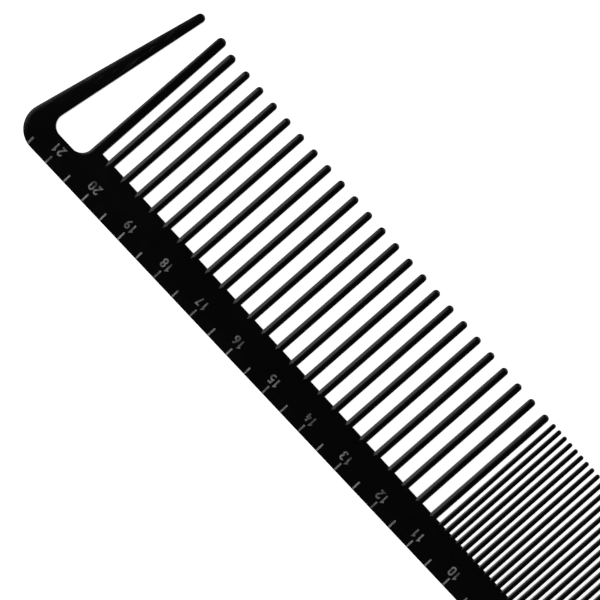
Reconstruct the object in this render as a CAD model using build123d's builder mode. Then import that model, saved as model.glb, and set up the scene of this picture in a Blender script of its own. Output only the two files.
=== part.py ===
from build123d import *
import os
from math import acos, cos, degrees, radians, sin, sqrt, tan

# Hook-ended cutting comb with a centimetre scale printed along its back. Millimetres.
# +X runs along the straight back edge towards the hook, +Y from the tooth tips towards the back
# edge, and +Z up from the face that the comb lies on. The origin is under the middle of the comb.
#
# A place on the comb is given as a station and a depth: the station is the distance from the
# scale's zero towards the hook, and the depth is the distance from the back edge towards the tips.

# Whole comb
comb_length = 222.25
comb_depth = 41.2
thickness = 3.2
tip_thickness = 2.4
zero_margin = 3.35

# Spine: its depth grows from the plain end to the hook
spine_depth_at_zero = 6.35
spine_growth = 0.0135
band_width = 2.1
band_drop = 0.3
plain_corner_radius = 3.0

# Teeth: all lean towards the plain end, and the points of the two rows lie on one straight line
tooth_lean = radians(1.95)
tip_depth_at_zero = 32.4
tip_growth = 0.0384

# Lead tooth: wider and longer than the rows, because it faces the sectioning gap
lead_station = 204.58
lead_width = 2.15
lead_tip_radius = 0.98
lead_tip_depth = 40.9

second_station = 201.0
second_tip_width = 1.78
first_coarse_station = 196.85
coarse_pitch = 3.926
evenly_spaced_coarse = 23
coarse_width = 1.58
coarse_tip_width = 1.55
coarse_ridge = 0.45

first_fine_station = 108.2
fine_pitch = 1.59
fine_count = 68
fine_width = 1.04
fine_tip_width = 0.88
fine_ridge = 0.28

# Hook: a wide tooth beyond the sectioning gap, with a round outer corner
hook_lean = radians(13.5)
hook_corner_radius = 5.0
hook_root_width = 3.98
hook_tip_radius = 0.92
end_ridge = 0.6
gap_floor_depth = 5.65
gap_corner_radius_at_hook = 2.4
gap_corner_radius_at_lead = 2.5

# Guard tooth at the plain end
guard_root_width = 3.95
guard_tip_radius = 1.1

# Printed scale
print_height = 0.05
last_centimetre = 21
centimetre = 10.0
tick_width = 0.35
tick_length = 1.95
tick_inset = 0.05
digit_stroke = 0.33
digit_height = 1.95
digit_advance = 1.32
bowl_radius = 0.39
numeral_place = 0.4
# The whole print stands a little to the plain side of its true place
print_shift = 0.2

zero_x = zero_margin - comb_length / 2
back_y = comb_depth / 2
hook_side_station = comb_length - zero_margin


def at(station, depth):
    """The point of the comb's plan at a station and a depth."""
    return Vector(zero_x + station, back_y - depth)


def spine_depth(station):
    """How deep the spine is at a station, which is where the slots between the teeth end."""
    return spine_depth_at_zero + spine_growth * station


def on_spine(station):
    """The point of the spine's toothed edge at a station."""
    return at(station, spine_depth(station))


def leaning(station, depth):
    """The point at a depth on the middle line of a tooth that leaves the spine at a station."""
    return at(station - (depth - spine_depth(station)) * tan(tooth_lean), depth)


def tip_centre(station, tip_radius):
    """The middle of the round point of a tooth of the rows."""
    lean = tan(tooth_lean)
    root = spine_depth(station)
    deepest = (tip_depth_at_zero + tip_growth * (station + root * lean)) / (1 + tip_growth * lean)
    return leaning(station, deepest - tip_radius)


def touching(point, centre, radius, side):
    """Where a line from a point touches a circle, on the side given by +1 or -1."""
    out = point - centre
    turn = side * degrees(acos(radius / out.length))
    return centre + out.normalized().rotate(Axis.Z, turn) * radius


def tooth(root_low, root_high, centre, tip_radius, ridge):
    """A tooth from its two root corners to a round point, thinner at the point than at the root."""
    low = touching(root_low, centre, tip_radius, 1)
    high = touching(root_high, centre, tip_radius, -1)
    root = (root_low + root_high) / 2
    along = centre - root
    across = root_high - root_low
    fall = Vector(along.X, along.Y, tip_thickness - thickness)
    upper_face = Plane(
        origin=(root.X, root.Y, thickness),
        x_dir=across,
        z_dir=fall.cross(across),
    )
    with BuildPart() as made:
        with BuildSketch():
            with BuildLine():
                Line(root_low, low)
                TangentArc(low, high, tangent=low - root_low)
                Line(high, root_high)
                Line(root_high, root_low)
            make_face()
        extrude(amount=thickness)
        split(bisect_by=upper_face, keep=Keep.BOTTOM)
        upper_edges = made.faces().sort_by(Axis.Z)[-1].edges()
        lower_edges = made.faces().sort_by(Axis.Z)[0].edges()
        ridges = upper_edges.sort_by_distance((root.X, root.Y, thickness))[1:]
        ridges += lower_edges.sort_by_distance((root.X, root.Y, 0))[1:]
        chamfer(ridges, length=ridge)
    return made.part


def row_tooth(station, width, tip_width, ridge):
    """A tooth of the rows, which stands on the spine's toothed edge."""
    root_low = on_spine(station - width / 2)
    root_high = on_spine(station + width / 2)
    tip_radius = tip_width / 2
    return tooth(root_low, root_high, tip_centre(station, tip_radius), tip_radius, ridge)


def save(builder, name):
    """Label a finished piece and write it to its own file."""
    builder.part.label = name
    export_step(builder.part, f"parts/{name}.step")


os.makedirs("parts", exist_ok=True)


# --- Hook: its outer edge touches the corner's circle and runs down to the point -------------

def hook_outer_station(depth):
    """Where the hook's outer edge is at a depth."""
    below_centre = depth - hook_corner_radius
    reach = (hook_corner_radius - below_centre * sin(hook_lean)) / cos(hook_lean)
    return hook_side_station - hook_corner_radius + reach


lead_edge_station = lead_station + lead_width / 2
hook_root_depth = spine_depth(lead_edge_station)
hook_root_high = at(hook_outer_station(hook_root_depth), hook_root_depth)
hook_root_low = hook_root_high - Vector(hook_root_width, 0)
hook_tip_depth = comb_depth - hook_tip_radius
hook_tip_station = hook_outer_station(hook_tip_depth) - hook_tip_radius / cos(hook_lean)
hook_tip_centre = at(hook_tip_station, hook_tip_depth)
hook_inner_touch = touching(hook_root_low, hook_tip_centre, hook_tip_radius, 1)
hook_inner_way = (hook_root_low - hook_inner_touch).normalized()

# --- Spine -----------------------------------------------------------------------------------

root_to_floor = hook_root_depth - gap_floor_depth
back_plain_corner = at(-zero_margin, 0)
back_hook_corner = at(hook_outer_station(0), 0)
gap_corner_at_hook = hook_root_low + hook_inner_way * (root_to_floor / hook_inner_way.Y)
gap_corner_at_lead = at(lead_edge_station + root_to_floor * tan(tooth_lean), gap_floor_depth)

with BuildPart() as spine:
    with BuildSketch() as spine_plan:
        with BuildLine():
            Polyline(
                back_plain_corner,
                back_hook_corner,
                hook_root_high,
                hook_root_low,
                gap_corner_at_hook,
                gap_corner_at_lead,
                on_spine(lead_edge_station),
                on_spine(-zero_margin),
                close=True,
            )
        make_face()
        fillet(spine_plan.vertices().sort_by_distance(back_plain_corner)[0], plain_corner_radius)
        fillet(spine_plan.vertices().sort_by_distance(back_hook_corner)[0], hook_corner_radius)
        fillet(spine_plan.vertices().sort_by_distance(gap_corner_at_hook)[0], gap_corner_radius_at_hook)
        fillet(spine_plan.vertices().sort_by_distance(gap_corner_at_lead)[0], gap_corner_radius_at_lead)
    extrude(amount=thickness)
    # The band that carries the ticks slopes down to the back edge, on both faces.
    with BuildSketch(Plane.YZ):
        with BuildLine():
            Polyline(
                (back_y, thickness),
                (back_y - band_width, thickness),
                (back_y, thickness - band_drop),
                close=True,
            )
        make_face()
        with BuildLine():
            Polyline((back_y, 0), (back_y - band_width, 0), (back_y, band_drop), close=True)
        make_face()
    extrude(amount=comb_length, both=True, mode=Mode.SUBTRACT)
save(spine, "spine")

# --- Teeth -----------------------------------------------------------------------------------

hook_solid = tooth(hook_root_low, hook_root_high, hook_tip_centre, hook_tip_radius, end_ridge)
with BuildPart() as hook_tooth:
    add(hook_solid)
save(hook_tooth, "hook_tooth")

lead_solid = tooth(
    on_spine(lead_station - lead_width / 2),
    on_spine(lead_edge_station),
    leaning(lead_station, lead_tip_depth - lead_tip_radius),
    lead_tip_radius,
    coarse_ridge,
)
with BuildPart() as lead_tooth:
    add(lead_solid)
save(lead_tooth, "lead_tooth")

coarse_stations = [first_coarse_station - coarse_pitch * step for step in range(evenly_spaced_coarse)]
coarse_solids = [row_tooth(s, coarse_width, coarse_tip_width, coarse_ridge) for s in coarse_stations]
coarse_solids.append(row_tooth(second_station, coarse_width, second_tip_width, coarse_ridge))
with BuildPart() as coarse_teeth:
    add(coarse_solids)
save(coarse_teeth, "coarse_teeth")

fine_stations = [first_fine_station - fine_pitch * step for step in range(fine_count)]
fine_solids = [row_tooth(s, fine_width, fine_tip_width, fine_ridge) for s in fine_stations]
with BuildPart() as fine_teeth:
    add(fine_solids)
save(fine_teeth, "fine_teeth")

# The guard tooth's inner edge is parallel to the fine teeth, and its outer edge leans the other way.
guard_inner_station = guard_root_width - zero_margin
guard_middle = tip_centre(guard_inner_station, guard_tip_radius) - Vector(guard_tip_radius, 0)
guard_solid = tooth(
    on_spine(-zero_margin),
    on_spine(guard_inner_station),
    guard_middle,
    guard_tip_radius,
    end_ridge,
)
with BuildPart() as guard_tooth:
    add(guard_solid)
save(guard_tooth, "guard_tooth")

# --- Printed ticks ---------------------------------------------------------------------------

# A plane on the sloping band, with its X along the back edge and its Y up the slope.
band_plane = Plane(
    origin=(zero_x, back_y, thickness - band_drop),
    x_dir=(1, 0, 0),
    z_dir=(0, band_drop, band_width),
)


def edge_depth(station):
    """How far the back edge has turned down at a station, past the start of the hook's corner."""
    past = max(0.0, station - (hook_side_station - hook_corner_radius))
    return hook_corner_radius - sqrt(hook_corner_radius**2 - past**2)


def ticks(stations):
    """Printed strokes from the back edge inwards, one at each station."""
    with BuildPart() as printed:
        with BuildSketch(band_plane):
            for station in stations:
                place = station - print_shift
                start = edge_depth(place) + tick_inset
                stroke = tick_length - start
                with Locations((place, -start - stroke / 2)):
                    Rectangle(tick_width, stroke)
        extrude(amount=print_height)
    return printed


whole_stations = [centimetre * number for number in range(last_centimetre + 1)]
half_stations = [station + centimetre / 2 for station in whole_stations]
save(ticks(whole_stations), "centimetre_ticks")
save(ticks(half_stations), "half_centimetre_ticks")

# --- Printed numerals ------------------------------------------------------------------------

# Every numeral is drawn about its own middle with a pen of one width. Bowls are arcs about a
# point above or below the middle.
pen_top = (digit_height - digit_stroke) / 2
bowl_height = pen_top - bowl_radius
upper_bowl = (0, bowl_height)
lower_bowl = (0, -bowl_height)


def draw_zero():
    CenterArc(upper_bowl, bowl_radius, 0, 180)
    Line((-bowl_radius, bowl_height), (-bowl_radius, -bowl_height))
    CenterArc(lower_bowl, bowl_radius, 180, 180)
    Line((bowl_radius, -bowl_height), (bowl_radius, bowl_height))


def draw_one():
    stem = bowl_radius / 4
    Polyline((-0.7 * bowl_radius, 0.6 * pen_top), (stem, pen_top), (stem, -pen_top))


def draw_two():
    bowl = CenterArc(upper_bowl, bowl_radius, 180, -215)
    Polyline(bowl @ 1, (-bowl_radius, -pen_top), (bowl_radius, -pen_top))


def draw_three():
    CenterArc(upper_bowl, bowl_radius, 150, -240)
    CenterArc(lower_bowl, bowl_radius, 90, -240)


def draw_four():
    stem = bowl_radius / 3
    bar = -0.35 * pen_top
    Polyline((-0.1 * bowl_radius, pen_top), (-bowl_radius, bar), (bowl_radius, bar))
    Line((stem, 0.3 * pen_top), (stem, -pen_top))


def draw_five():
    waist = (-0.85 * bowl_radius, 0.1 * pen_top)
    Polyline((0.85 * bowl_radius, pen_top), (-0.75 * bowl_radius, pen_top), waist)
    ThreePointArc(waist, (bowl_radius, -0.42 * pen_top), (-bowl_radius, -0.8 * pen_top))


def draw_six_stem():
    foot = (-0.9 * bowl_radius, -bowl_height)
    ThreePointArc(foot, (-0.6 * bowl_radius, 0.4 * pen_top), (0.6 * bowl_radius, pen_top))


def draw_seven():
    Polyline((-bowl_radius, pen_top), (bowl_radius, pen_top), (-0.3 * bowl_radius, -pen_top))


def draw_eight():
    CenterArc(upper_bowl, bowl_radius, 0, 360)
    CenterArc(lower_bowl, bowl_radius, 0, 360)


def pen_strokes(draw):
    """A numeral's drawn lines, given the pen's width."""
    with BuildSketch(mode=Mode.PRIVATE) as drawn:
        with BuildLine():
            draw()
        trace(line_width=digit_stroke)
    return drawn.sketch


def six():
    """A stem that runs into a disc, which is then opened into a ring."""
    with BuildSketch(mode=Mode.PRIVATE) as drawn:
        with BuildLine():
            draw_six_stem()
        trace(line_width=digit_stroke)
        with Locations(lower_bowl):
            Circle(bowl_radius + digit_stroke / 2)
            Circle(bowl_radius - digit_stroke / 2, mode=Mode.SUBTRACT)
    return drawn.sketch


digit_shapes = [
    pen_strokes(draw_zero),
    pen_strokes(draw_one),
    pen_strokes(draw_two),
    pen_strokes(draw_three),
    pen_strokes(draw_four),
    pen_strokes(draw_five),
    six(),
    pen_strokes(draw_seven),
    pen_strokes(draw_eight),
    six().rotate(Axis.Z, 180),
]

for number in range(1, last_centimetre + 1):
    digits = [int(character) for character in str(number)]
    station = centimetre * number
    clear_of_band = band_width + digit_height / 2 + 2 * tick_inset
    depth = max(numeral_place * spine_depth(station), clear_of_band)
    middle = at(station - print_shift, depth)
    first_x = middle.X - digit_advance * (len(digits) - 1) / 2
    with BuildPart() as numeral:
        with BuildSketch(Plane.XY.offset(thickness)):
            for place, digit in enumerate(digits):
                with Locations((first_x + place * digit_advance, middle.Y)):
                    add(digit_shapes[digit])
        extrude(amount=print_height)
    save(numeral, f"numeral_{number}")
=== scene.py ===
import math
from collections import namedtuple

import bmesh
import bpy
from mathutils import Matrix, Vector


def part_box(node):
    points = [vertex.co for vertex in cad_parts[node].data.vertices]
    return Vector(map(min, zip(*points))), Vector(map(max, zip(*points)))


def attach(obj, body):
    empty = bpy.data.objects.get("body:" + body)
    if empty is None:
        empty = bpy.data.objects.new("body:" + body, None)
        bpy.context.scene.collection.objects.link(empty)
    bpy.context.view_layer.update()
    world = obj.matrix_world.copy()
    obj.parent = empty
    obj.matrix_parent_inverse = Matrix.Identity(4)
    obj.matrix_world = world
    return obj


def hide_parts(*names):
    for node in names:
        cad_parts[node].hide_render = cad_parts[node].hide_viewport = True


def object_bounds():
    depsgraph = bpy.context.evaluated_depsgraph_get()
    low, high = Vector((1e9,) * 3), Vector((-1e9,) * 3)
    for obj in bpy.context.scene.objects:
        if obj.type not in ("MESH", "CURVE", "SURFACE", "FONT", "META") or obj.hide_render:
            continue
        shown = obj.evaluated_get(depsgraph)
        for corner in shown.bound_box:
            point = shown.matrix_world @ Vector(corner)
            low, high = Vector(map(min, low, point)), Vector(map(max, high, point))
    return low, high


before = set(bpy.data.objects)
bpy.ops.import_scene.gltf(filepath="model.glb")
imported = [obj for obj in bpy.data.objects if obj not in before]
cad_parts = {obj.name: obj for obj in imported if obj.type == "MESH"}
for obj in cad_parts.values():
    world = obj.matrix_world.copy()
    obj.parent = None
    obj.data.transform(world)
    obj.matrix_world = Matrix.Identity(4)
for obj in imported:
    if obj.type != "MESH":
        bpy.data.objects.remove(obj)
cad_low, cad_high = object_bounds()

# A hook-ended cutting comb, lying flat. +X runs along its straight back towards the hook, +Y from
# the tooth points towards the back, +Z up. Shapes are laid out in millimetres and written in metres.
#
# A place on the comb is a station and a depth: the distance from the scale's zero towards the hook,
# and the distance from the back edge towards the tooth points.


# =============================================================================================
# Sizes
# =============================================================================================

MM = 0.001

spine_low, spine_high = (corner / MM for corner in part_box("spine"))
hook_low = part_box("hook_tooth")[0] / MM

BACK = spine_high.y
THICKNESS = spine_high.z - spine_low.z
TIP_THICKNESS = 2.4
PLAIN_END = spine_low.x
HOOK_END = spine_high.x

ZERO_MARGIN = 3.35
ZERO = PLAIN_END + ZERO_MARGIN

# The toothed edge of the spine, and the line of the tooth points
SPINE_DEPTH_AT_ZERO = 6.35
SPINE_GROWTH = 0.0135
TOOTH_LEAN = math.radians(1.95)
TIP_DEPTH_AT_ZERO = 32.4
TIP_GROWTH = 0.0384

# The lead tooth stands next to the hook, and the second tooth and the even row follow it
LEAD_STATION = 204.58
LEAD_WIDTH = 2.15
LEAD_TIP_RADIUS = 0.98
LEAD_TIP_DEPTH = 40.9

SECOND_STATION = 201.0
SECOND_TIP_WIDTH = 1.78
FIRST_COARSE_STATION = 196.85
COARSE_PITCH = 3.926
EVENLY_SPACED_COARSE = 23
COARSE_WIDTH = 1.58
COARSE_TIP_WIDTH = 1.55

FIRST_FINE_STATION = 108.2
FINE_PITCH = 1.59
FINE_COUNT = 68
FINE_WIDTH = 1.04
FINE_TIP_WIDTH = 0.88

# The hook, and the sectioning gap between it and the lead tooth
HOOK_LEAN = math.radians(13.5)
HOOK_CORNER_RADIUS = 5.0
HOOK_ROOT_WIDTH = 3.98
HOOK_TIP_RADIUS = 0.92
GAP_FLOOR_DEPTH = 5.65
GAP_RADIUS_AT_HOOK = 2.4
GAP_RADIUS_AT_LEAD = 2.5

# The plain end, and the guard tooth there
PLAIN_CORNER_RADIUS = 3.0
GUARD_ROOT_WIDTH = 3.95
GUARD_TIP_RADIUS = 1.1

# The printed scale; all of it stands a little towards the plain end
CENTIMETRE = 10.0
TICK_COUNT = 22
TICK_WIDTH = 0.35
TICK_LENGTH = 1.86
LAST_TICK_WIDTH = 0.45
PRINT_SHIFT = 0.2
PRINT_HEIGHT = 0.05

# A softened edge: its width in plan, how far it drops, and 1 where it is a plain slope instead of
# a curve. A cut is where two pieces of the moulding meet, and isn't softened.
Finish = namedtuple("Finish", "width drop straight")
CUT = None
BAND = Finish(2.1, 0.3, 1.0)
RIM = Finish(0.9, 0.2, 0.5)
GAP = Finish(0.4, 0.12, 0.0)
LEAD_HOOK_SIDE = Finish(0.7, 0.2, 0.3)
COARSE_HOOK_SIDE = Finish(0.72, 0.3, 0.68)
COARSE_PLAIN_SIDE = Finish(0.42, 0.26, 0.2)
COARSE_SLOT_END = Finish(0.3, 0.15, 0.75)
FINE_HOOK_SIDE = Finish(0.34, 0.14, 0.67)
FINE_PLAIN_SIDE = Finish(0.28, 0.16, 0.2)
FINE_SLOT_END = Finish(0.16, 0.08, 0.75)

# The slope on a tooth's hook side runs on past the end of the slot to a point in the spine.
# Each run-out is how far its point is from the slot's corner. The coarse teeth's get longer
# towards the hook.
SHORT_RUN_OUT = Vector((-0.28, 0.6))
LONG_RUN_OUT = Vector((-0.38, 1.18))
FINE_RUN_OUT = Vector((-0.1, 0.5))

# A corner of an outline: where it is, the finish of the edge that starts there, and, only where
# the edge has no length or the corner moves by its own rule, that edge's normal and that shift.
Corner = namedtuple("Corner", "point finish normal shift", defaults=(None, None))

# How many steps a softened edge has, where a fold starts to look sharp, how alike (as a cosine)
# the normals of a smooth corner's two edges are, and how close two points have to be to be one
EDGE_STEPS = 4
SHARP_ANGLE = math.radians(32)
SMOOTH_CORNER = 0.9
SAME_PLACE = 0.0001


# =============================================================================================
# Where things are
# =============================================================================================

def at(station, depth):
    """The plan point at a station and a depth."""
    return Vector((ZERO + station, BACK - depth))


def spine_depth(station):
    """How deep the spine is at a station."""
    return SPINE_DEPTH_AT_ZERO + SPINE_GROWTH * station


def on_spine(station):
    """The point of the spine's toothed edge at a station."""
    return at(station, spine_depth(station))


def leaning(station, depth):
    """The point at a depth on the middle line of a tooth that leaves the spine at a station."""
    return at(station - (depth - spine_depth(station)) * math.tan(TOOTH_LEAN), depth)


def tip_centre(station, tip_radius):
    """The middle of the round point of a tooth of the rows."""
    lean = math.tan(TOOTH_LEAN)
    root = spine_depth(station)
    deepest = (TIP_DEPTH_AT_ZERO + TIP_GROWTH * (station + root * lean)) / (1 + TIP_GROWTH * lean)
    return leaning(station, deepest - tip_radius)


def turned(vector, angle):
    """A plan vector turned anticlockwise."""
    return Matrix.Rotation(angle, 2) @ vector


def touching(point, centre, radius, side):
    """Where a line from a point touches a circle, on the side given by +1 or -1."""
    out = point - centre
    return centre + turned(out.normalized(), side * math.acos(radius / out.length)) * radius


def arc_points(centre, start, end, steps, clockwise=False):
    """The points between two ends of an arc, without the ends."""
    first = start - centre
    last = end - centre
    sweep = (math.atan2(last.y, last.x) - math.atan2(first.y, first.x)) % math.tau
    if clockwise:
        sweep -= math.tau
    return [centre + turned(first, sweep * step / steps) for step in range(1, steps)]


def hook_outer_station(depth):
    """Where the hook's outer edge is at a depth."""
    below = depth - HOOK_CORNER_RADIUS
    reach = (HOOK_CORNER_RADIUS - below * math.sin(HOOK_LEAN)) / math.cos(HOOK_LEAN)
    return HOOK_END - ZERO - HOOK_CORNER_RADIUS + reach


LEAD_EDGE_STATION = LEAD_STATION + LEAD_WIDTH / 2
HOOK_ROOT_DEPTH = spine_depth(LEAD_EDGE_STATION)
HOOK_ROOT_HIGH = at(hook_outer_station(HOOK_ROOT_DEPTH), HOOK_ROOT_DEPTH)
HOOK_ROOT_LOW = HOOK_ROOT_HIGH - Vector((HOOK_ROOT_WIDTH, 0))
HOOK_TIP_DEPTH = BACK - hook_low.y - HOOK_TIP_RADIUS
HOOK_TIP_STATION = hook_outer_station(HOOK_TIP_DEPTH) - HOOK_TIP_RADIUS / math.cos(HOOK_LEAN)
HOOK_TIP_CENTRE = at(HOOK_TIP_STATION, HOOK_TIP_DEPTH)

GUARD_INNER_STATION = GUARD_ROOT_WIDTH - ZERO_MARGIN
GUARD_TIP_CENTRE = tip_centre(GUARD_INNER_STATION, GUARD_TIP_RADIUS) - Vector((GUARD_TIP_RADIUS, 0))


# =============================================================================================
# A moulded plate with softened edges
# =============================================================================================

def inward_normals(outline):
    """The normal of each edge, pointing into the plate; the outline runs anticlockwise."""
    normals = []
    for place, corner in enumerate(outline):
        normal = corner.normal
        if normal is None:
            way = outline[(place + 1) % len(outline)].point - corner.point
            normal = Vector((-way.y, way.x)).normalized()
        normals.append(normal)
    return normals


def corner_shift(before, before_width, after, after_width):
    """How far a corner moves when its two edges move in by their widths."""
    if before.dot(after) > SMOOTH_CORNER:
        return (before + after) / (1 + before.dot(after)) * (before_width + after_width) / 2
    area = before.x * after.y - before.y * after.x
    return Vector((
        (before_width * after.y - after_width * before.y) / area,
        (after_width * before.x - before_width * after.x) / area,
    ))


def corner_rule(before, corner, normal_before, normal_after):
    """A corner's whole shift in plan, its drop, and how straight its slope is."""
    if corner.shift is not None:
        return corner.shift, before.drop, before.straight
    after = corner.finish
    shift = corner_shift(
        normal_before,
        before.width if before else 0.0,
        normal_after,
        after.width if after else 0.0,
    )
    first = before or after
    second = after or before
    drop = (first.drop + second.drop) / 2
    straight = (first.straight + second.straight) / 2
    return shift, drop, straight


def plate_rings(outline):
    """Closed rings of points, from the flat underside out round the wall and in to the flat top."""
    normals = inward_normals(outline)
    rules = []
    for place, corner in enumerate(outline):
        rules.append(corner_rule(outline[place - 1].finish, corner, normals[place - 1], normals[place]))
    levels = []
    for step in range(EDGE_STEPS + 1):
        share = step / EDGE_STEPS
        level = []
        for corner, (shift, drop, straight) in zip(outline, rules):
            rest = 1 - share
            fall = drop * (rest * straight + rest * rest * (1 - straight))
            level.append((corner.point + shift * share, fall))
        levels.append(level)
    under = [[(p.x, p.y, fall) for p, fall in level] for level in reversed(levels)]
    over = [[(p.x, p.y, THICKNESS - fall) for p, fall in level] for level in levels]
    return under + over


def plate_mesh(name, outline, reshape=None, ladder=False):
    """A closed mesh from an outline. A ladder's flat faces are rungs between its two sides."""
    made = bmesh.new()
    rings = []
    for ring in plate_rings(outline):
        places = [reshape(Vector(place)) if reshape else Vector(place) for place in ring]
        rings.append([made.verts.new(place * MM) for place in places])
    count = len(outline)
    for lower, upper in zip(rings, rings[1:]):
        for place in range(count):
            after = (place + 1) % count
            face = made.faces.new((lower[place], lower[after], upper[after], upper[place]))
            face.smooth = True
    for ring in (rings[0], rings[-1]):
        if ladder:
            for place in range((count - 1) // 2):
                other = count - 1 - place
                rung = [ring[place], ring[place + 1], ring[other - 1], ring[other]]
                face = made.faces.new(list(dict.fromkeys(rung)))
                face.smooth = True
        else:
            made.faces.new(ring)
    bmesh.ops.remove_doubles(made, verts=made.verts, dist=SAME_PLACE * MM)
    bmesh.ops.dissolve_degenerate(made, edges=made.edges, dist=SAME_PLACE * MM)
    bmesh.ops.recalc_face_normals(made, faces=made.faces)
    for edge in made.edges:
        edge.smooth = edge.calc_face_angle(0.0) < SHARP_ANGLE
    mesh = bpy.data.meshes.new(name)
    made.to_mesh(mesh)
    made.free()
    return mesh


def new_piece(name, mesh):
    """A new object in the scene."""
    piece = bpy.data.objects.new(name, mesh)
    bpy.context.scene.collection.objects.link(piece)
    return piece


# =============================================================================================
# Teeth
# =============================================================================================

# The outline's points along a tooth's side, as shares of its length and then as distances from
# the round point, and its steps round the point
SIDE_SHARES = (0.0, 0.4, 0.75)
NEAR_POINT = (1.6, 0.9, 0.35)
POINT_STEPS = 8

# The length over which a point is rounded seen from the side, and the share of the thickness
# that is left at its very end
POINT_LENGTH = 2.2
POINT_END_SHARE = 0.45


def blended(first, second, share):
    """A finish between two others."""
    return Finish(*(a + (b - a) * share for a, b in zip(first, second)))


def tooth_outline(root_low, root_high, centre, tip_radius, low_finish, high_finish):
    """Down the side towards the plain end, round the point, and up the side towards the hook."""
    low_end = touching(root_low, centre, tip_radius, 1)
    high_end = touching(root_high, centre, tip_radius, -1)
    outline = []
    length = (low_end - root_low).length
    shares = list(SIDE_SHARES) + [1 - rest / length for rest in NEAR_POINT]
    for share in shares:
        outline.append(Corner(root_low.lerp(low_end, share), low_finish))
    round_points = [low_end] + arc_points(centre, low_end, high_end, POINT_STEPS)
    for step, point in enumerate(round_points):
        finish = blended(low_finish, high_finish, (step + 0.5) / POINT_STEPS)
        outline.append(Corner(point, finish))
    outline.append(Corner(high_end, high_finish))
    for share in reversed(shares[1:]):
        outline.append(Corner(root_high.lerp(high_end, share), high_finish))
    outline.append(Corner(root_high, CUT))
    return outline


def thinning(root, centre, tip_radius):
    """A rule that thins a tooth towards its point and rounds the point seen from the side."""
    along = centre - root
    length = along.length + tip_radius
    along.normalize()

    def reshape(place):
        travelled = (place.xy - root).dot(along)
        share = min(max(travelled / length, 0.0), 1.0)
        local = THICKNESS + (TIP_THICKNESS - THICKNESS) * share
        height = place.z * local / THICKNESS
        left = min(max((length - travelled) / POINT_LENGTH, 0.0), 1.0)
        roundness = POINT_END_SHARE + (1 - POINT_END_SHARE) * math.sqrt(1 - (1 - left) ** 2)
        middle = local / 2
        return Vector((place.x, place.y, middle + (height - middle) * roundness))

    return reshape


def tooth_mesh(name, root_low, root_high, centre, tip_radius, low_finish, high_finish):
    """A tooth from the two ends of its root to its round point."""
    outline = tooth_outline(root_low, root_high, centre, tip_radius, low_finish, high_finish)
    root = (root_low + root_high) / 2
    return plate_mesh(name, outline, thinning(root, centre, tip_radius), ladder=True)


def row_tooth_mesh(name, station, width, tip_width, low_finish, high_finish):
    """A tooth of a row, with the middle of its root at the mesh's origin."""
    mesh = tooth_mesh(
        name,
        on_spine(station - width / 2),
        on_spine(station + width / 2),
        tip_centre(station, tip_width / 2),
        tip_width / 2,
        low_finish,
        high_finish,
    )
    root = on_spine(station) * MM
    mesh.transform(Matrix.Translation((-root.x, -root.y, 0)))
    return mesh


def tooth_length(station):
    """How long a tooth of the rows is, along its middle line."""
    return (tip_centre(station, 0) - on_spine(station)).length


# =============================================================================================
# Rows, by Geometry Nodes
# =============================================================================================

def add_socket(tree, name, kind, default=None):
    """Gives a node group an input."""
    socket = tree.interface.new_socket(name=name, in_out="INPUT", socket_type=kind)
    if default is not None:
        socket.default_value = default
    return socket


def place_node(tree, kind, x, y, **settings):
    """A new node at a place in its editor, counted in steps, with its settings."""
    node = tree.nodes.new(kind)
    node.location = (x * 180, y * 180)
    for name, value in settings.items():
        setattr(node, name, value)
    return node


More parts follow.
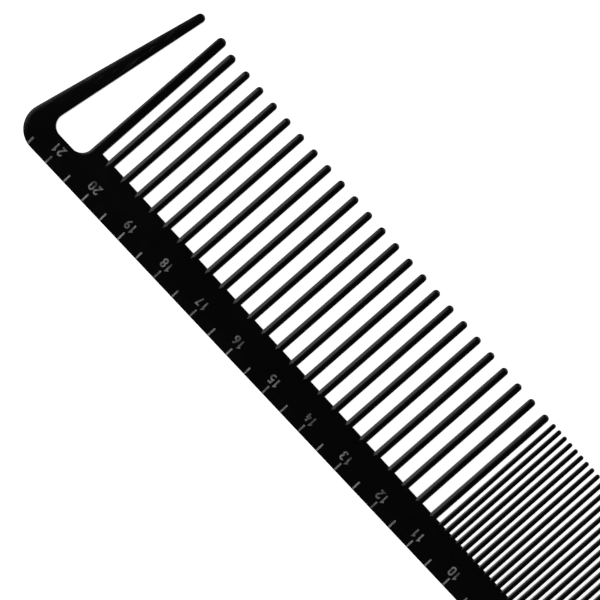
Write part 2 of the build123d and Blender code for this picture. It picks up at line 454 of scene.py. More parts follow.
def row_tree():
    """Copies one piece along a straight line, each a little longer or shorter than the last."""
    tree = bpy.data.node_groups.new("row_of_pieces", "GeometryNodeTree")
    tree.interface.new_socket(name="Row", in_out="OUTPUT", socket_type="NodeSocketGeometry")
    add_socket(tree, "Piece", "NodeSocketObject")
    add_socket(tree, "Count", "NodeSocketInt", 2)
    add_socket(tree, "Start", "NodeSocketVector")
    add_socket(tree, "Step", "NodeSocketVector")
    add_socket(tree, "Growth", "NodeSocketFloat", 0.0)
    add_socket(tree, "Unevenness", "NodeSocketFloat", 0.0)
    add_socket(tree, "Tilt", "NodeSocketFloat", 0.0)
    add_socket(tree, "Seed", "NodeSocketInt", 0)
    add_socket(tree, "Finish", "NodeSocketMaterial")

    given = place_node(tree, "NodeGroupInput", 0, 0)
    line = place_node(tree, "GeometryNodeMeshLine", 1, 1, mode="OFFSET")
    number = place_node(tree, "GeometryNodeInputIndex", 1, -1)
    grown = place_node(tree, "ShaderNodeMath", 3, -2, operation="MULTIPLY_ADD")
    chance = place_node(tree, "FunctionNodeRandomValue", 3, -3, data_type="FLOAT")
    least = place_node(tree, "ShaderNodeMath", 2, -3, operation="SUBTRACT")
    most = place_node(tree, "ShaderNodeMath", 2, -4, operation="ADD")
    length = place_node(tree, "ShaderNodeMath", 4, -2, operation="MULTIPLY")
    scale = place_node(tree, "ShaderNodeCombineXYZ", 5, -2)
    tilt = place_node(tree, "ShaderNodeCombineXYZ", 5, -3)
    source = place_node(tree, "GeometryNodeObjectInfo", 4, 0)
    copies = place_node(tree, "GeometryNodeInstanceOnPoints", 6, 1)
    solid = place_node(tree, "GeometryNodeRealizeInstances", 7, 1)
    coated = place_node(tree, "GeometryNodeSetMaterial", 8, 1)
    result = place_node(tree, "NodeGroupOutput", 9, 1)

    link = tree.links.new
    link(given.outputs["Count"], line.inputs["Count"])
    link(given.outputs["Start"], line.inputs["Start Location"])
    link(given.outputs["Step"], line.inputs["Offset"])
    link(number.outputs["Index"], grown.inputs[0])
    link(given.outputs["Growth"], grown.inputs[1])
    grown.inputs[2].default_value = 1.0
    least.inputs[0].default_value = 1.0
    link(given.outputs["Unevenness"], least.inputs[1])
    most.inputs[0].default_value = 1.0
    link(given.outputs["Unevenness"], most.inputs[1])
    link(least.outputs["Value"], chance.inputs[2])
    link(most.outputs["Value"], chance.inputs[3])
    link(given.outputs["Seed"], chance.inputs["Seed"])
    link(grown.outputs["Value"], length.inputs[0])
    link(chance.outputs[1], length.inputs[1])
    scale.inputs["X"].default_value = 1.0
    scale.inputs["Z"].default_value = 1.0
    link(length.outputs["Value"], scale.inputs["Y"])
    link(given.outputs["Tilt"], tilt.inputs["X"])
    link(given.outputs["Piece"], source.inputs["Object"])
    link(line.outputs["Mesh"], copies.inputs["Points"])
    link(source.outputs["Geometry"], copies.inputs["Instance"])
    link(tilt.outputs["Vector"], copies.inputs["Rotation"])
    link(scale.outputs["Vector"], copies.inputs["Scale"])
    link(copies.outputs["Instances"], solid.inputs["Geometry"])
    link(solid.outputs["Geometry"], coated.inputs["Geometry"])
    link(given.outputs["Finish"], coated.inputs["Material"])
    link(coated.outputs["Geometry"], result.inputs["Row"])
    return tree


def row_mesh(tree, mesh, **values):
    """The plain mesh of a row, from the mesh of its first piece."""
    first = new_piece("row_source", mesh)
    carrier = new_piece("row_carrier", bpy.data.meshes.new("row_carrier"))
    modifier = carrier.modifiers.new("row", "NODES")
    modifier.node_group = tree
    values["Piece"] = first
    for item in tree.interface.items_tree:
        if item.item_type == "SOCKET" and item.in_out == "INPUT" and item.name in values:
            modifier[item.identifier] = values[item.name]
    bpy.context.view_layer.update()
    evaluated = carrier.evaluated_get(bpy.context.evaluated_depsgraph_get())
    made = bpy.data.meshes.new_from_object(evaluated)
    made.materials.clear()
    made.materials.append(values["Finish"])
    for face in made.polygons:
        face.material_index = 0
    carrier.modifiers.remove(modifier)
    bpy.data.objects.remove(carrier)
    bpy.data.objects.remove(first)
    return made


def metres(plan, height=0.0):
    """A plan point and a height in millimetres as a place in metres."""
    return (plan.x * MM, plan.y * MM, height * MM)


def add_to(mesh, other, material_index=0):
    """Adds another mesh's faces to a mesh, with one of the mesh's materials."""
    made = bmesh.new()
    made.from_mesh(other)
    for face in made.faces:
        face.material_index = material_index
    made.from_mesh(mesh)
    made.to_mesh(mesh)
    made.free()


# =============================================================================================
# Spine
# =============================================================================================

TO_HOOK = Vector((1, 0))
TO_PLAIN_END = Vector((-1, 0))

# Steps round each corner of the gap's floor, and round each end of the back
GAP_CORNER_STEPS = 10
BACK_CORNER_STEPS = 15

# How much of a round corner of the back has the rim's finish, before it changes to the band's
RIM_HOLD = 0.6

RootSpan = namedtuple("RootSpan", "low high low_finish high_finish slot_end run_out")


def row_spans():
    """Where every tooth but the hook stands on the spine, from the plain end to the hook."""
    sides = (FINE_HOOK_SIDE, FINE_SLOT_END, FINE_RUN_OUT)
    spans = [RootSpan(-ZERO_MARGIN, GUARD_INNER_STATION, RIM, *sides)]
    for step in reversed(range(FINE_COUNT)):
        middle = FIRST_FINE_STATION - FINE_PITCH * step
        half = FINE_WIDTH / 2
        spans.append(RootSpan(middle - half, middle + half, FINE_PLAIN_SIDE, *sides))
    sides = (COARSE_PLAIN_SIDE, COARSE_HOOK_SIDE, COARSE_SLOT_END)
    half = COARSE_WIDTH / 2
    for step in reversed(range(EVENLY_SPACED_COARSE)):
        middle = FIRST_COARSE_STATION - COARSE_PITCH * step
        run_out = LONG_RUN_OUT.lerp(SHORT_RUN_OUT, step / EVENLY_SPACED_COARSE)
        spans.append(RootSpan(middle - half, middle + half, *sides, run_out))
    spans.append(RootSpan(SECOND_STATION - half, SECOND_STATION + half, *sides, LONG_RUN_OUT))
    half = LEAD_WIDTH / 2
    sides = (COARSE_PLAIN_SIDE, LEAD_HOOK_SIDE, GAP, None)
    spans.append(RootSpan(LEAD_STATION - half, LEAD_STATION + half, *sides))
    return spans


def toothed_edge():
    """The spine's edge from the plain end to the lead tooth: cuts under teeth, softened slot ends.
    Each slot's two flanks have no length here, and only turn the softened edge into the spine.
    The run-out takes the first part of the slot's end, as long as that end's slope is wide."""
    outline = []
    spans = row_spans()
    for span, following in zip(spans, spans[1:]):
        low = on_spine(following.low)
        high = on_spine(span.high)
        outline.append(Corner(on_spine(span.low), CUT))
        outline.append(Corner(high, span.high_finish, TO_PLAIN_END))
        outline.append(Corner(high, span.slot_end, shift=span.run_out))
        outline.append(Corner(on_spine(span.high + span.slot_end.width), span.slot_end))
        outline.append(Corner(low, following.low_finish, TO_HOOK))
    outline.append(Corner(on_spine(spans[-1].low), CUT))
    return outline


def rounded(corner, before, after, radius):
    """The two ends and the middle of the circle that rounds a corner of an outline."""
    back = (before - corner).normalized()
    on = (after - corner).normalized()
    half = back.angle(on) / 2
    reach = radius / math.tan(half)
    middle = corner + (back + on).normalized() * radius / math.sin(half)
    return corner + back * reach, corner + on * reach, middle


def gap_edge():
    """From the lead tooth's root round the sectioning gap to the hook's root."""
    rise = HOOK_ROOT_DEPTH - GAP_FLOOR_DEPTH
    inner_touch = touching(HOOK_ROOT_LOW, HOOK_TIP_CENTRE, HOOK_TIP_RADIUS, 1)
    inner_way = (HOOK_ROOT_LOW - inner_touch).normalized()
    lead_root = on_spine(LEAD_EDGE_STATION)
    lead_corner = at(LEAD_EDGE_STATION + rise * math.tan(TOOTH_LEAN), GAP_FLOOR_DEPTH)
    hook_corner = HOOK_ROOT_LOW + inner_way * (rise / inner_way.y)
    outline = [Corner(lead_root, LEAD_HOOK_SIDE)]
    start, end, middle = rounded(lead_corner, lead_root, hook_corner, GAP_RADIUS_AT_LEAD)
    points = [start, *arc_points(middle, start, end, GAP_CORNER_STEPS, clockwise=True)]
    for step, point in enumerate(points):
        outline.append(Corner(point, blended(LEAD_HOOK_SIDE, GAP, (step + 0.5) / GAP_CORNER_STEPS)))
    outline.append(Corner(end, GAP))
    start, end, middle = rounded(hook_corner, lead_corner, HOOK_ROOT_LOW, GAP_RADIUS_AT_HOOK)
    for point in [start, *arc_points(middle, start, end, GAP_CORNER_STEPS, clockwise=True), end]:
        outline.append(Corner(point, GAP))
    outline.append(Corner(HOOK_ROOT_LOW, CUT))
    return outline


def back_edge():
    """From the hook's root up its outer edge, along the ruled back, and down the plain end."""
    hook_corner = at(hook_outer_station(0), 0)
    plain_corner = at(-ZERO_MARGIN, 0)
    plain_root = on_spine(-ZERO_MARGIN)
    outline = [Corner(HOOK_ROOT_HIGH, RIM)]
    corners = (
        (hook_corner, HOOK_ROOT_HIGH, plain_corner, HOOK_CORNER_RADIUS, RIM, BAND, RIM_HOLD),
        (plain_corner, hook_corner, plain_root, PLAIN_CORNER_RADIUS, BAND, RIM, 0.0),
    )
    for corner, before, after, radius, finish_before, finish_after, change_start in corners:
        start, end, middle = rounded(corner, before, after, radius)
        points = [start, *arc_points(middle, start, end, BACK_CORNER_STEPS)]
        for step, point in enumerate(points):
            share = ((step + 0.5) / BACK_CORNER_STEPS - change_start) / (1 - RIM_HOLD)
            share = min(max(share, 0.0), 1.0)
            outline.append(Corner(point, blended(finish_before, finish_after, share)))
        outline.append(Corner(end, finish_after))
    return outline


# =============================================================================================
# Finishes: shared effects
# =============================================================================================

# Which part of a noise's range goes from nothing to full strength
SCRATCH_EDGE = (0.58, 0.72)
SCRATCHED_PATCH_EDGE = (0.45, 0.7)
SPECK_EDGE = (0.16, 0.05)
DUSTY_PLACE_EDGE = (0.56, 0.7)
DUSTY_PLACE_SIZE = 260.0


def shader_group(name, inputs, outputs):
    """An empty node group with its sockets, its input node and its output node."""
    group = bpy.data.node_groups.new(name, "ShaderNodeTree")
    for label, kind, default in inputs:
        socket = group.interface.new_socket(name=label, in_out="INPUT", socket_type=kind)
        socket.default_value = default
    for label, kind in outputs:
        group.interface.new_socket(name=label, in_out="OUTPUT", socket_type=kind)
    given = place_node(group, "NodeGroupInput", 0, 0)
    result = place_node(group, "NodeGroupOutput", 8, 0)
    return group, given, result


def noise(tree, x, y, **settings):
    """A noise texture with its inputs set."""
    node = place_node(tree, "ShaderNodeTexNoise", x, y)
    for name, value in settings.items():
        node.inputs[name].default_value = value
    return node


def ranged(tree, x, y, low, high, from_low=0.0, from_high=1.0):
    """A node that turns one range of values into another."""
    node = place_node(tree, "ShaderNodeMapRange", x, y)
    node.inputs["From Min"].default_value = from_low
    node.inputs["From Max"].default_value = from_high
    node.inputs["To Min"].default_value = low
    node.inputs["To Max"].default_value = high
    return node


def product(tree, x, y, first, second):
    """A node that multiplies two outputs."""
    node = place_node(tree, "ShaderNodeMath", x, y, operation="MULTIPLY")
    tree.links.new(first, node.inputs[0])
    tree.links.new(second, node.inputs[1])
    return node


def moulded_skin_group():
    """The faint pebbling and cloudiness of a moulded plastic skin."""
    group, given, result = shader_group(
        "moulded_skin",
        [("Grain Size", "NodeSocketFloat", 4000.0), ("Cloud Size", "NodeSocketFloat", 120.0)],
        [("Grain", "NodeSocketFloat"), ("Cloud", "NodeSocketFloat")],
    )
    place = place_node(group, "ShaderNodeTexCoord", 0, 2)
    grain = noise(group, 2, 1, Detail=3.0)
    cloud = noise(group, 2, -1, Detail=4.0, Roughness=0.6)
    link = group.links.new
    link(place.outputs["Object"], grain.inputs["Vector"])
    link(place.outputs["Object"], cloud.inputs["Vector"])
    link(given.outputs["Grain Size"], grain.inputs["Scale"])
    link(given.outputs["Cloud Size"], cloud.inputs["Scale"])
    link(grain.outputs["Fac"], result.inputs["Grain"])
    link(cloud.outputs["Fac"], result.inputs["Cloud"])
    return group


def fine_scratches_group():
    """Hairline scratches that run one way, in patches."""
    group, given, result = shader_group(
        "fine_scratches",
        [
            ("Along", "NodeSocketVector", (1.0, 1.0, 1.0)),
            ("Amount", "NodeSocketFloat", 0.5),
            ("Patch Size", "NodeSocketFloat", 90.0),
        ],
        [("Scratch", "NodeSocketFloat")],
    )
    place = place_node(group, "ShaderNodeTexCoord", 0, 2)
    stretch = place_node(group, "ShaderNodeVectorMath", 1, 1, operation="MULTIPLY")
    lines = noise(group, 2, 1, Scale=1.0, Detail=2.0)
    sharp = ranged(group, 3, 1, 0.0, 1.0, *SCRATCH_EDGE)
    patches = noise(group, 2, -1, Detail=1.0)
    patchy = ranged(group, 3, -1, 0.0, 1.0, *SCRATCHED_PATCH_EDGE)
    link = group.links.new
    link(place.outputs["Object"], stretch.inputs[0])
    link(given.outputs["Along"], stretch.inputs[1])
    link(stretch.outputs["Vector"], lines.inputs["Vector"])
    link(lines.outputs["Fac"], sharp.inputs["Value"])
    link(place.outputs["Object"], patches.inputs["Vector"])
    link(given.outputs["Patch Size"], patches.inputs["Scale"])
    link(patches.outputs["Fac"], patchy.inputs["Value"])
    both = product(group, 4, 0, sharp.outputs["Result"], patchy.outputs["Result"])
    strength = product(group, 5, 0, both.outputs["Value"], given.outputs["Amount"])
    link(strength.outputs["Value"], result.inputs["Scratch"])
    return group


def dust_group():
    """A thin scatter of dust specks."""
    group, given, result = shader_group(
        "dust_specks",
        [("Speck Size", "NodeSocketFloat", 900.0), ("Amount", "NodeSocketFloat", 0.5)],
        [("Dust", "NodeSocketFloat")],
    )
    place = place_node(group, "ShaderNodeTexCoord", 0, 2)
    specks = place_node(group, "ShaderNodeTexVoronoi", 2, 1)
    near = ranged(group, 3, 1, 0.0, 1.0, *SPECK_EDGE)
    rare = noise(group, 2, -1, Scale=DUSTY_PLACE_SIZE)
    some = ranged(group, 3, -1, 0.0, 1.0, *DUSTY_PLACE_EDGE)
    link = group.links.new
    link(place.outputs["Object"], specks.inputs["Vector"])
    link(given.outputs["Speck Size"], specks.inputs["Scale"])
    link(specks.outputs["Distance"], near.inputs["Value"])
    link(place.outputs["Object"], rare.inputs["Vector"])
    link(rare.outputs["Fac"], some.inputs["Value"])
    both = product(group, 4, 0, near.outputs["Result"], some.outputs["Result"])
    strength = product(group, 5, 0, both.outputs["Value"], given.outputs["Amount"])
    link(strength.outputs["Value"], result.inputs["Dust"])
    return group


SKIN = moulded_skin_group()
SCRATCHES = fine_scratches_group()
DUST = dust_group()


# =============================================================================================
# Finishes: materials
# =============================================================================================

# Black plastic: its two blacks, the greys of its scratches and dust, the part of the clouds'
# range that changes the gloss, what a scratch adds to the roughness and to the height, and how
# strong and how high the relief is (in metres)
PLASTIC_BLACKS = ((0.001, 0.001, 0.0011), (0.0026, 0.0026, 0.0027))
HAIRLINE_GREY = 0.011
STREAK_GREY = 0.035
DUST_GREY = (0.03, 0.029, 0.027)
GLOSS_EDGE = (0.3, 0.7)
SCRATCH_ROUGHNESS = 0.18
SCRATCH_HEIGHT = -0.6
PLASTIC_RELIEF = (0.22, 0.00003)
PLASTIC_IOR = 1.5

# Ink: how rough it is where thin and where full, its relief as above, and the parts of the two
# noises' ranges that thin it out in patches and in pinholes
INK_ROUGHNESS = (0.42, 0.62)
INK_RELIEF = (0.3, 0.00002)
INK_IOR = 1.45
INK_PATCH_EDGE = (0.36, 0.58)
PINHOLE_EDGE = (0.36, 0.5)
PINHOLE_COVER = 0.35

PAPER_WHITES = ((0.86, 0.86, 0.86), (0.9, 0.9, 0.9))
PAPER_ROUGHNESS = 0.9
PAPER_SHINE = 0.1

# The first colour of a mix whose first colour comes from another node
FROM_NODE = (0.0, 0.0, 0.0)
WHITE = (1.0, 1.0, 1.0, 1.0)


def grouped(tree, group, x, y, **values):
    """A node of a shared effect; an underscore in a value's name stands for a space."""
    node = place_node(tree, "ShaderNodeGroup", x, y)
    node.node_tree = group
    for name, value in values.items():
        node.inputs[name.replace("_", " ")].default_value = value
    return node


def colour_mix(tree, x, y, first, second):
    """A node that goes from one colour to another."""
    node = place_node(tree, "ShaderNodeMix", x, y, data_type="RGBA")
    node.inputs["A"].default_value = (*first, 1.0)
    node.inputs["B"].default_value = (*second, 1.0)
    return node


def relief(tree, height, strength, distance):
    """The normal of a surface with a height on it."""
    bump = place_node(tree, "ShaderNodeBump", 6, -2)
    bump.inputs["Strength"].default_value = strength
    bump.inputs["Distance"].default_value = distance
    tree.links.new(height, bump.inputs["Height"])
    return bump.outputs["Normal"]


def new_material(name):
    """A material, its node tree and its shader."""
    material = bpy.data.materials.new(name)
    material.use_nodes = True
    tree = material.node_tree
    shader = tree.nodes["Principled BSDF"]
    shader.location = (1500, 0)
    tree.nodes["Material Output"].location = (1800, 0)
    return material, tree, shader


def black_plastic(name, along, scratch_amount, smoothest, roughest, scratch_grey=HAIRLINE_GREY):
    """Satin black moulding: cloudy gloss, a fine pebble, hairlines and a few specks of dust."""
    material, tree, shader = new_material(name)
    link = tree.links.new
    skin = grouped(tree, SKIN, 0, 1, Grain_Size=3200.0, Cloud_Size=110.0)
    scratch = grouped(tree, SCRATCHES, 0, 0, Along=along, Amount=scratch_amount, Patch_Size=80.0)
    dust = grouped(tree, DUST, 0, -1, Speck_Size=1100.0, Amount=0.35)

    black = colour_mix(tree, 2, 2, *PLASTIC_BLACKS)
    link(skin.outputs["Cloud"], black.inputs["Factor"])
    scratched = colour_mix(tree, 4, 2, FROM_NODE, (scratch_grey, scratch_grey, scratch_grey))
    link(scratch.outputs["Scratch"], scratched.inputs["Factor"])
    link(black.outputs["Result"], scratched.inputs["A"])
    dusty = colour_mix(tree, 5, 2, FROM_NODE, DUST_GREY)
    link(dust.outputs["Dust"], dusty.inputs["Factor"])
    link(scratched.outputs["Result"], dusty.inputs["A"])
    link(dusty.outputs["Result"], shader.inputs["Base Color"])

    gloss = ranged(tree, 3, 0, smoothest, roughest, *GLOSS_EDGE)
    link(skin.outputs["Cloud"], gloss.inputs["Value"])
    roughness = place_node(tree, "ShaderNodeMath", 5, 0, operation="MULTIPLY_ADD")
    roughness.inputs[1].default_value = SCRATCH_ROUGHNESS
    link(scratch.outputs["Scratch"], roughness.inputs[0])
    link(gloss.outputs["Result"], roughness.inputs[2])
    link(roughness.outputs["Value"], shader.inputs["Roughness"])

    height = place_node(tree, "ShaderNodeMath", 4, -2, operation="MULTIPLY_ADD")
    height.inputs[1].default_value = SCRATCH_HEIGHT
    link(scratch.outputs["Scratch"], height.inputs[0])
    link(skin.outputs["Grain"], height.inputs[2])
    link(relief(tree, height.outputs["Value"], *PLASTIC_RELIEF), shader.inputs["Normal"])
    shader.inputs["IOR"].default_value = PLASTIC_IOR
    return material


def printed_ink(name, thin_ink, full_ink):
    """Grey print with pinholes and thin places, where the black plastic shows through."""
    material, tree, shader = new_material(name)
    link = tree.links.new
    skin = grouped(tree, SKIN, 0, 1, Grain_Size=2600.0, Cloud_Size=520.0)
    patch = ranged(tree, 2, 1, 0.0, 1.0, *INK_PATCH_EDGE)
    link(skin.outputs["Cloud"], patch.inputs["Value"])
    pinholes = ranged(tree, 2, -1, PINHOLE_COVER, 1.0, *PINHOLE_EDGE)
    link(skin.outputs["Grain"], pinholes.inputs["Value"])
    cover = product(tree, 3, 0, patch.outputs["Result"], pinholes.outputs["Result"])
    ink = colour_mix(tree, 5, 1, thin_ink, full_ink)
    link(cover.outputs["Value"], ink.inputs["Factor"])
    link(ink.outputs["Result"], shader.inputs["Base Color"])
    roughness = ranged(tree, 5, -1, *INK_ROUGHNESS)
    link(cover.outputs["Value"], roughness.inputs["Value"])
    link(roughness.outputs["Result"], shader.inputs["Roughness"])
    link(relief(tree, cover.outputs["Value"], *INK_RELIEF), shader.inputs["Normal"])
    shader.inputs["IOR"].default_value = INK_IOR
    return material


def floor_white():
    """White table paper, lit a little from within so that no hard shadow shows."""
    material, tree, shader = new_material("white_table")
    link = tree.links.new
    skin = grouped(tree, SKIN, 0, 0, Grain_Size=700.0, Cloud_Size=3.0)
    paper = colour_mix(tree, 2, 0, *PAPER_WHITES)
    link(skin.outputs["Cloud"], paper.inputs["Factor"])
    link(paper.outputs["Result"], shader.inputs["Base Color"])
    shader.inputs["Roughness"].default_value = PAPER_ROUGHNESS
    shader.inputs["Specular IOR Level"].default_value = PAPER_SHINE
    shader.inputs["Emission Color"].default_value = WHITE
    shader.inputs["Emission Strength"].default_value = 1.0
    return material


# The first numbers say how close together the scratches are along X, Y and Z: small along their
# run. Then come how many there are, and the smoothest and the roughest gloss.
SPINE_PLASTIC = black_plastic("spine_plastic", (120.0, 5200.0, 5200.0), 0.5, 0.21, 0.29)
TOOTH_PLASTIC = black_plastic("tooth_plastic", (5200.0, 140.0, 5200.0), 0.35, 0.2, 0.27)
STREAKED_PLASTIC = black_plastic(
    "streaked_plastic", (2000.0, 190.0, 2000.0), 1.0, 0.21, 0.28, STREAK_GREY
)
TICK_INK = printed_ink("tick_ink", (0.2, 0.2, 0.2), (0.6, 0.6, 0.6))
NUMERAL_INK = printed_ink("numeral_ink", (0.12, 0.12, 0.12), (0.5, 0.5, 0.5))


# =============================================================================================
# The comb
# =============================================================================================

def stands_for(piece, slot, *nodes):
    """The finished piece rides with the comb in place of its CAD nodes."""
    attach(piece, "root")
    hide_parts(*nodes)


def build_spine():
    mesh = plate_mesh("spine_moulding", toothed_edge() + gap_edge() + back_edge())
    mesh.materials.append(SPINE_PLASTIC)
    stands_for(new_piece("spine_moulding", mesh), "comb_plastic", "spine")


def build_wide_teeth():
    """The hook, the lead tooth and the guard tooth, each of its own shape."""
    lead_low = on_spine(LEAD_STATION - LEAD_WIDTH / 2)
    lead_high = on_spine(LEAD_EDGE_STATION)
    lead_tip = leaning(LEAD_STATION, LEAD_TIP_DEPTH - LEAD_TIP_RADIUS)
    guard_low = on_spine(-ZERO_MARGIN)
    guard_high = on_spine(GUARD_INNER_STATION)
    wide = (
        ("hook_tooth", HOOK_ROOT_LOW, HOOK_ROOT_HIGH, HOOK_TIP_CENTRE, HOOK_TIP_RADIUS, GAP, RIM),
        (
            "lead_tooth", lead_low, lead_high, lead_tip, LEAD_TIP_RADIUS,
            COARSE_PLAIN_SIDE, LEAD_HOOK_SIDE,
        ),
        (
            "guard_tooth", guard_low, guard_high, GUARD_TIP_CENTRE, GUARD_TIP_RADIUS,
            RIM, FINE_HOOK_SIDE,
        ),
    )
    for node, *shape in wide:
        mesh = tooth_mesh(node + "_moulding", *shape)
        mesh.materials.append(STREAKED_PLASTIC)
        stands_for(new_piece(node + "_moulding", mesh), "comb_plastic", node)


def build_coarse_teeth(tree):
    """The tooth next to the lead tooth is wider at its point and further from the others."""
    start = FIRST_COARSE_STATION
    sides = (COARSE_PLAIN_SIDE, COARSE_HOOK_SIDE)
    first = row_tooth_mesh("coarse_tooth", start, COARSE_WIDTH, COARSE_TIP_WIDTH, *sides)
    mesh = row_mesh(
        tree,
        first,
        Count=EVENLY_SPACED_COARSE,
        Start=metres(on_spine(start)),
        Step=metres(on_spine(start - COARSE_PITCH) - on_spine(start)),
        Growth=tooth_length(start - COARSE_PITCH) / tooth_length(start) - 1,
        Finish=TOOTH_PLASTIC,
    )
    second = row_tooth_mesh("second_tooth", SECOND_STATION, COARSE_WIDTH, SECOND_TIP_WIDTH, *sides)
    second.transform(Matrix.Translation(metres(on_spine(SECOND_STATION))))
    add_to(mesh, second)
    stands_for(new_piece("coarse_tooth_row", mesh), "comb_plastic", "coarse_teeth")


def build_fine_teeth(tree):
    start = FIRST_FINE_STATION
    sides = (FINE_PLAIN_SIDE, FINE_HOOK_SIDE)
    first = row_tooth_mesh("fine_tooth", start, FINE_WIDTH, FINE_TIP_WIDTH, *sides)
    mesh = row_mesh(
        tree,
        first,
        Count=FINE_COUNT,
        Start=metres(on_spine(start)),
        Step=metres(on_spine(start - FINE_PITCH) - on_spine(start)),
        Growth=tooth_length(start - FINE_PITCH) / tooth_length(start) - 1,
        Finish=TOOTH_PLASTIC,
    )
    stands_for(new_piece("fine_tooth_row", mesh), "comb_plastic", "fine_teeth")


# =============================================================================================
# The printed scale
# =============================================================================================

TICK_CORNER = 0.08
TICK_CORNER_STEPS = 3
TICK_INSET = 0.06
TICK_UNEVENNESS = 0.08
BAND_TILT = -math.atan(BAND.drop / BAND.width)

# Each row of ticks has its own uneven lengths
WHOLE_TICK_SEED = 3
HALF_TICK_SEED = 8
LAST_TICK_SEED = 2


def tick_mesh(width, length, inset=TICK_INSET):
    """A printed stroke with round corners, from the back edge inwards, flat on z = 0."""
    made = bmesh.new()
    outline = []
    middles = (
        (width / 2 - TICK_CORNER, -inset - TICK_CORNER, 0),
        (-width / 2 + TICK_CORNER, -inset - TICK_CORNER, 1),
        (-width / 2 + TICK_CORNER, -length + TICK_CORNER, 2),
        (width / 2 - TICK_CORNER, -length + TICK_CORNER, 3),
    )
    for x, y, quarter in middles:
        for step in range(TICK_CORNER_STEPS + 1):
            angle = (quarter + step / TICK_CORNER_STEPS) * math.pi / 2
            outline.append((x + TICK_CORNER * math.cos(angle), y + TICK_CORNER * math.sin(angle)))
    under = [made.verts.new((x * MM, y * MM, 0.0)) for x, y in outline]
    over = [made.verts.new((x * MM, y * MM, PRINT_HEIGHT * MM)) for x, y in outline]
    made.faces.new(list(reversed(under)))
    made.faces.new(over)
    for place in range(len(outline)):
        after = (place + 1) % len(outline)
        made.faces.new((under[place], under[after], over[after], over[place]))
    mesh = bpy.data.meshes.new("tick")
    made.to_mesh(mesh)
    made.free()
    return mesh


def tick_row(tree, stroke, station, count, seed):
    """A row of printed strokes, one each centimetre from a station."""
    return row_mesh(
        tree,
        stroke,
        Count=count,
        Start=metres(at(station - PRINT_SHIFT, 0), THICKNESS - BAND.drop),
        Step=(CENTIMETRE * MM, 0.0, 0.0),
        Unevenness=TICK_UNEVENNESS,
        Tilt=BAND_TILT,
        Seed=seed,
        Finish=TICK_INK,
    )


def build_ticks(tree):
    """The last tick is heavier and fainter, and starts lower because the edge has turned there."""
    stroke = tick_mesh(TICK_WIDTH, TICK_LENGTH)
    whole = tick_row(tree, stroke, 0.0, TICK_COUNT, WHOLE_TICK_SEED)
    stands_for(new_piece("printed_centimetre_ticks", whole), "scale_print", "centimetre_ticks")

    last_station = CENTIMETRE * (TICK_COUNT - 0.5)
    past = last_station - PRINT_SHIFT - (HOOK_END - ZERO - HOOK_CORNER_RADIUS)
    edge_depth = HOOK_CORNER_RADIUS - math.sqrt(HOOK_CORNER_RADIUS**2 - past**2)
    last_stroke = tick_mesh(LAST_TICK_WIDTH, TICK_LENGTH, TICK_INSET + edge_depth)
    half = tick_row(tree, stroke, CENTIMETRE / 2, TICK_COUNT - 1, HALF_TICK_SEED)
    last = tick_row(tree, last_stroke, last_station, 1, LAST_TICK_SEED)
    half.materials.append(NUMERAL_INK)
    add_to(half, last, material_index=1)
    stands_for(new_piece("printed_half_centimetre_ticks", half), "scale_print", "half_centimetre_ticks")


def ink_numerals():
    """The numerals keep their CAD shapes and get ink."""
    for name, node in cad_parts.items():
        if name.startswith("numeral_"):
            node.data.materials.clear()
            node.data.materials.append(NUMERAL_INK)


# =============================================================================================
# Table, light and camera
# =============================================================================================

# The table, in metres: how far it reaches each way, and the squares that its mesh has
TABLE_REACH = 20.0
TABLE_SQUARES = 8

# The room's glow: a height, from the table's level to straight up, and how bright it is there
ROOM_GLOW = ((0.0, 1.0), (0.05, 0.9), (0.16, 0.35), (0.4, 0.1), (0.75, 0.02))


def build_table():
    """The pale table that the comb lies on."""
    made = bmesh.new()
    bmesh.ops.create_grid(made, x_segments=TABLE_SQUARES, y_segments=TABLE_SQUARES, size=TABLE_REACH)
    bmesh.ops.translate(made, verts=made.verts, vec=(0, 0, cad_low.z))
    mesh = bpy.data.meshes.new("table")
    made.to_mesh(mesh)
    made.free()
    mesh.materials.append(floor_white())
    table = new_piece("table", mesh)


def softbox(name, azimuth, elevation, distance, width, height, glow):
    """A soft light that faces the comb, sized in metres; azimuth 0 is on the hook's side."""
    light = bpy.data.lights.new(name, "AREA")
    light.shape = "RECTANGLE"
    light.size = width
    light.size_y = height
    light.energy = glow * math.pi * width * height
    lamp = bpy.data.objects.new(name, light)
    turn = math.radians(azimuth)
    rise = math.radians(elevation)
    level = math.cos(rise)
    away = Vector((math.cos(turn) * level, math.sin(turn) * level, math.sin(rise)))
    lamp.location = away * distance
    lamp.rotation_mode = "QUATERNION"
    lamp.rotation_quaternion = away.to_track_quat("Z", "Y")
    bpy.context.scene.collection.objects.link(lamp)


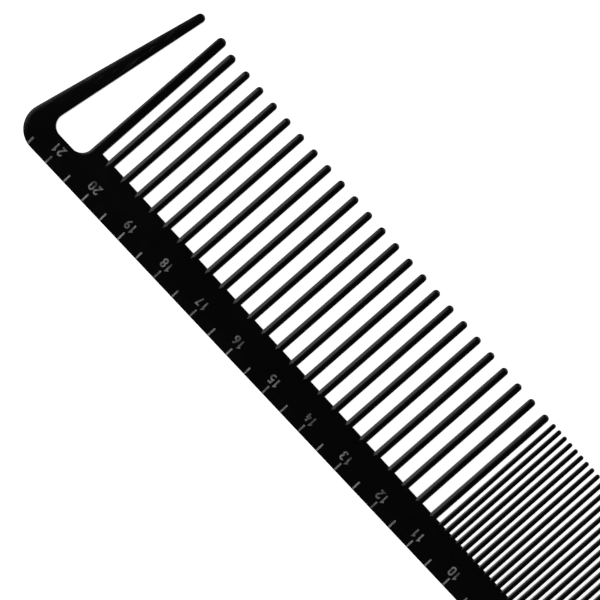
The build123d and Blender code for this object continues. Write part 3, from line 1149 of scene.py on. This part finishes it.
def light_studio():
    """A key light past the hook, a fill past the back, and a room that is brightest low down."""
    softbox("hook_side_key", azimuth=0, elevation=42, distance=1.6, width=2.2, height=0.8, glow=1.5)
    softbox("back_fill", azimuth=68, elevation=40, distance=1.6, width=1.4, height=0.7, glow=0.5)

    world = bpy.data.worlds.new("studio")
    world.use_nodes = True
    tree = world.node_tree
    place = place_node(tree, "ShaderNodeTexCoord", -4, 0)
    split = place_node(tree, "ShaderNodeSeparateXYZ", -3, 0)
    ramp = place_node(tree, "ShaderNodeValToRGB", -2, 0)
    while len(ramp.color_ramp.elements) < len(ROOM_GLOW):
        ramp.color_ramp.elements.new(0.5)
    for element, (height, level) in zip(ramp.color_ramp.elements, ROOM_GLOW):
        element.position = height
        element.color = (level, level, level, 1.0)
    tree.links.new(place.outputs["Generated"], split.inputs["Vector"])
    tree.links.new(split.outputs["Z"], ramp.inputs["Fac"])
    tree.links.new(ramp.outputs["Color"], tree.nodes["Background"].inputs["Color"])
    bpy.context.scene.world = world
    bpy.context.scene.view_settings.view_transform = "Standard"


# The camera looks straight down from high up, turned so that the back edge runs from the upper
# left to the lower right, and takes in half of the comb.
CAMERA_STATION = 157.7
CAMERA_DEPTH = 17.4
CAMERA_FIELD = 113.8
CAMERA_TURN = math.radians(-133.25)
CAMERA_LENS = 400.0
CAMERA_REACH = 100.0
SENSOR = 36.0


def place_camera():
    data = bpy.data.cameras.new("camera")
    data.lens = CAMERA_LENS
    data.sensor_width = SENSOR
    data.clip_end = CAMERA_REACH
    camera = bpy.data.objects.new("camera", data)
    middle = at(CAMERA_STATION, CAMERA_DEPTH)
    height = THICKNESS + CAMERA_FIELD * CAMERA_LENS / SENSOR
    camera.location = metres(middle, height)
    camera.rotation_euler = (0, 0, CAMERA_TURN)
    bpy.context.scene.collection.objects.link(camera)
    bpy.context.scene.camera = camera


place_camera()
rows = row_tree()
build_spine()
build_wide_teeth()
build_coarse_teeth(rows)
build_fine_teeth(rows)
build_ticks(rows)
ink_numerals()
build_table()
light_studio()
